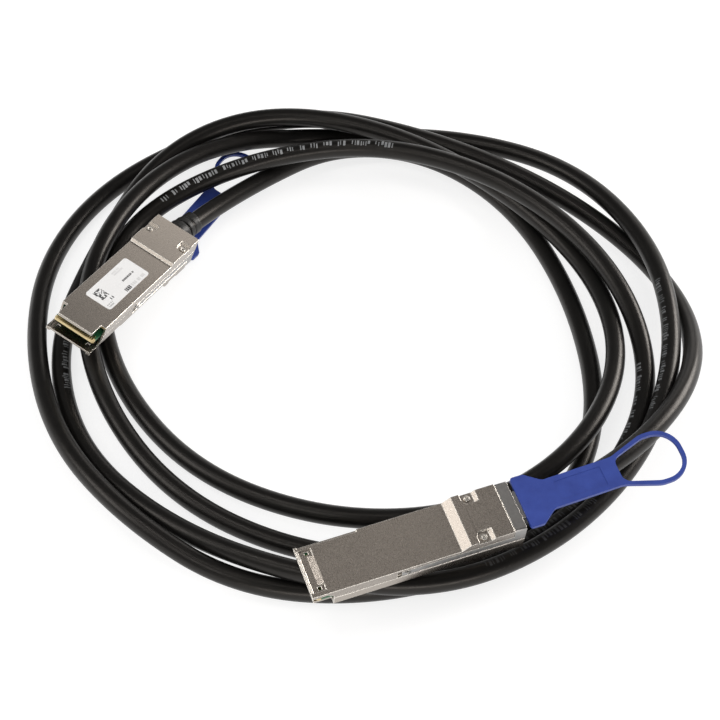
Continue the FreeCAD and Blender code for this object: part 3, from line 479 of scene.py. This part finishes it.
def printed_bars(line, start, length, turn, ink, index):
    """A row of plain upright bars in groups, printed on the jacket."""
    rng = random.Random(100 + index)
    work = bmesh.new()
    distance = start
    while distance < start + length:
        for _ in range(rng.randint(*BARS["group"])):
            width = rng.choice(BARS["widths"])
            half = rng.uniform(*BARS["half_heights"]) / (CABLE_DIAMETER / 2 + PRINT_LIFT)
            middle = math.radians(turn) + rng.choice(BARS["strays"])
            first, last = [[work.verts.new(spot) for spot in
                            arc_over(line, place * MM, middle, half)]
                           for place in (distance, distance + width)]
            for corners in zip(first, last, last[1:], first[1:]):
                work.faces.new(corners)
            distance += width + rng.choice(BARS["gaps"])
        distance += rng.uniform(*BARS["group_gaps"])
    work.normal_update()
    name = f"cable_print_{index}"
    new_piece(name, as_mesh(name, work), CABLE_INKS[ink])


def cord():
    cable = added("cable_jacket", cable_curve("cable_jacket", True))
    cable.data.materials.append(JACKET)
    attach(cable, "root")
    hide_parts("cable")
    line = cable_line()
    for index, (start, length, turn, ink) in enumerate(PRINTED):
        printed_bars(line, start, length, turn, ink, index)


# Print on the label, in mm from the middle of its front edge

# lines of bars: where each starts and ends, its side place, height, ink and pitch
LABEL_LINES = [
    (16.2, 12.6, -4.6, 1.5, "dark", 1.25), (25.4, 16.8, -4.5, 1.3, "pale", 1.2),
    (23.4, 15.8, -0.8, 0.8, "dark", 0.8), (21.8, 15.6, 3.1, 0.6, "pale", 0.7),
    (20.6, 16.0, 4.0, 0.6, "pale", 0.7), (6.8, 5.2, -2.8, 1.1, "dark", 1.0),
    (4.6, 1.4, -3.6, 0.5, "grey", 0.6), (4.2, 1.2, -4.5, 0.5, "grey", 0.6),
]
DOTS = {"place": (2.2, -0.7), "cell": 0.4, "count": 11, "fill": 0.94, "share": 0.5,
        "edge_share": 0.72}


def label_bars():
    """Generic marks: plain bars and one square of dots, laid along the plug."""
    rng = random.Random(7)
    work = bmesh.new()
    lift = NOSE_HEIGHT + LABEL["sheet"] + LABEL["print_lift"]
    tones = list(LABEL_INKS)

    def tile(x, y, long, wide, ink):
        x += LABEL["front"]
        corners = [(x, y), (x + long, y), (x + long, y + wide), (x, y + wide)]
        verts = [work.verts.new(Vector((*corner, lift)) * MM) for corner in corners]
        work.faces.new(verts).material_index = tones.index(ink)

    for start, end, y, high, ink, pitch in LABEL_LINES:
        x = start
        while x > end:
            step = rng.uniform(0.55, 1.0) * pitch
            bar = step * 0.72
            tile(x - bar, y, bar, high, ink)
            x -= step if rng.random() < 0.8 else step * 1.8
    cell, edges = DOTS["cell"], (0, DOTS["count"] - 1)
    for across in range(DOTS["count"]):
        for down in range(DOTS["count"]):
            share = DOTS["edge_share" if across in edges or down in edges else "share"]
            if rng.random() < share:
                x, y = DOTS["place"]
                tile(x + across * cell, y + down * cell, cell * DOTS["fill"],
                     cell * DOTS["fill"], "dark")
    work.normal_update()
    mesh = as_mesh("label_print", work)
    mesh.transform(plug_matrix("far"))
    new_piece("label_print", mesh, LABEL_INKS["dark"])
    for ink in tones[1:]:
        mesh.materials.append(LABEL_INKS[ink])


# Studio

WARM, WARMER, WARMEST = (1.0, 0.985, 0.965), (1.0, 0.97, 0.94), (1.0, 0.96, 0.92)
# name, place and size in metres, radiance and tint
SOFTBOXES = [
    ("left_box", (-0.65, -0.07, 0.42), (0.34, 0.34), 3.4, WARM),
    ("high_left_box", (-0.35, -0.02, 0.75), (0.14, 0.14), 6.5, WARM),
    ("recess_box", (-0.145, -0.12, 0.81), (0.14, 0.14), 2.6, (1.0, 0.975, 0.94)),
    ("camera_box", (-0.37, -0.43, 0.62), (0.22, 0.22), 3.0, WARM),
    ("back_box", (0.218, 0.75, 0.33), (0.36, 0.26), 1.3, WARMER),
    ("right_box", (0.8, 0.42, 0.36), (0.6, 0.36), 10.5, WARMEST),
    ("front_box", (0.15, -1.05, 0.34), (1.1, 0.2), 6.0, WARMEST),
    ("top_box", (0.1, 0.16, 0.78), (0.2, 0.26), 0.95, WARMER),
]
# what glossy rays meet: how steeply they rise, and how bright it is there
GLOSSY_SKY = [(0.0, 1.0), (0.06, 0.9), (0.2, 0.2), (0.65, 0.14), (0.85, 0.05), (1.0, 0.05)]
SKY = 0.55
# the floor as light falls on it, and as it is seen: a tone that takes shadows and a glow
FLOOR = {"size": 3.0, "lit": 0.8, "seen": 0.34, "glow": 0.76}
# the photograph's view: mm of lens and sensor, degrees of height, metres
CAMERA = {"lens": 100.0, "sensor": 36.0, "height": 47.6, "reach": 0.7186,
          "target": (-0.0005, 0.0, 0.0), "clip": 0.01}


def grey(level):
    return level, level, level, 1.0


def floor():
    work = bmesh.new()
    bmesh.ops.create_grid(work, x_segments=1, y_segments=1, size=FLOOR["size"])
    mesh = as_mesh("floor", work)
    plane = added("floor", mesh)
    material = bpy.data.materials.new("pale_floor")
    material.use_nodes = True
    nodes = Nodes(material.node_tree)
    nodes.tree.nodes.remove(nodes.tree.nodes["Principled BSDF"])
    rays = nodes.node("ShaderNodeLightPath").outputs
    mirrored = nodes.either(rays["Is Glossy Ray"], rays["Is Transmission Ray"])
    seen = nodes.either(rays["Is Camera Ray"], mirrored)
    lit = nodes.node("ShaderNodeBsdfDiffuse", {"Color": grey(FLOOR["lit"])})
    shown = nodes.node("ShaderNodeBsdfDiffuse", {"Color": grey(FLOOR["seen"])})
    glow = nodes.node("ShaderNodeEmission", {"Color": grey(1.0), "Strength": FLOOR["glow"]})
    white = nodes.node("ShaderNodeAddShader", {0: shown.outputs[0], 1: glow.outputs[0]})
    choice = nodes.node("ShaderNodeMixShader", {0: seen, 1: lit.outputs[0], 2: white.outputs[0]})
    nodes.feed(nodes.tree.nodes["Material Output"].inputs["Surface"], choice.outputs[0])
    mesh.materials.append(material)


def world():
    """Pale all round; what glossy rays meet darkens overhead, as in a studio."""
    studio = bpy.data.worlds.new("studio")
    bpy.context.scene.world = studio
    studio.use_nodes = True
    nodes = Nodes(studio.node_tree)
    rays = nodes.node("ShaderNodeLightPath").outputs
    way = nodes.node("ShaderNodeTexCoord").outputs["Generated"]
    rise = nodes.node("ShaderNodeSeparateXYZ", {0: way}).outputs["Z"]
    ramp = nodes.node("ShaderNodeValToRGB", {0: rise})
    tones = ramp.color_ramp.elements
    for tone, (rising, level) in zip(tones, (GLOSSY_SKY[0], GLOSSY_SKY[-1])):
        tone.position, tone.color = rising, grey(level)
    for rising, level in GLOSSY_SKY[1:-1]:
        tones.new(rising).color = grey(level)
    sky = nodes.blend(rays["Is Glossy Ray"], (SKY, SKY, SKY), ramp.outputs[0])
    seen = nodes.either(rays["Is Camera Ray"], rays["Is Transmission Ray"])
    nodes.feed(nodes.tree.nodes["Background"].inputs["Color"],
               nodes.blend(seen, sky, (1.0, 1.0, 1.0)))


def softbox(name, place, size, radiance, tint):
    """A lamp aimed at the object, set by how bright its face is."""
    lamp = bpy.data.lights.new(name, "AREA")
    lamp.shape = "RECTANGLE"
    lamp.size, lamp.size_y = size
    lamp.energy = radiance * math.pi * size[0] * size[1]
    lamp.color = tint
    box = added(name, lamp)
    box.location = place
    box.rotation_euler = (-Vector(place)).to_track_quat("-Z", "Y").to_euler()


def camera():
    lens = bpy.data.cameras.new("camera")
    lens.sensor_width = CAMERA["sensor"]
    lens.lens = CAMERA["lens"]
    lens.clip_start = CAMERA["clip"]
    eye = added("camera", lens)
    height = math.radians(CAMERA["height"])
    way = Vector((0, -math.cos(height), math.sin(height)))
    eye.location = Vector(CAMERA["target"]) + CAMERA["reach"] * way
    eye.rotation_euler = (math.radians(90) - height, 0, 0)
    bpy.context.scene.camera = eye


dress_solids()
for end in SIDES:
    pull_tab(end)
cord()
label_bars()
floor()
world()
for box in SOFTBOXES:
    softbox(*box)
camera()
bpy.context.scene.view_settings.view_transform = "Standard"
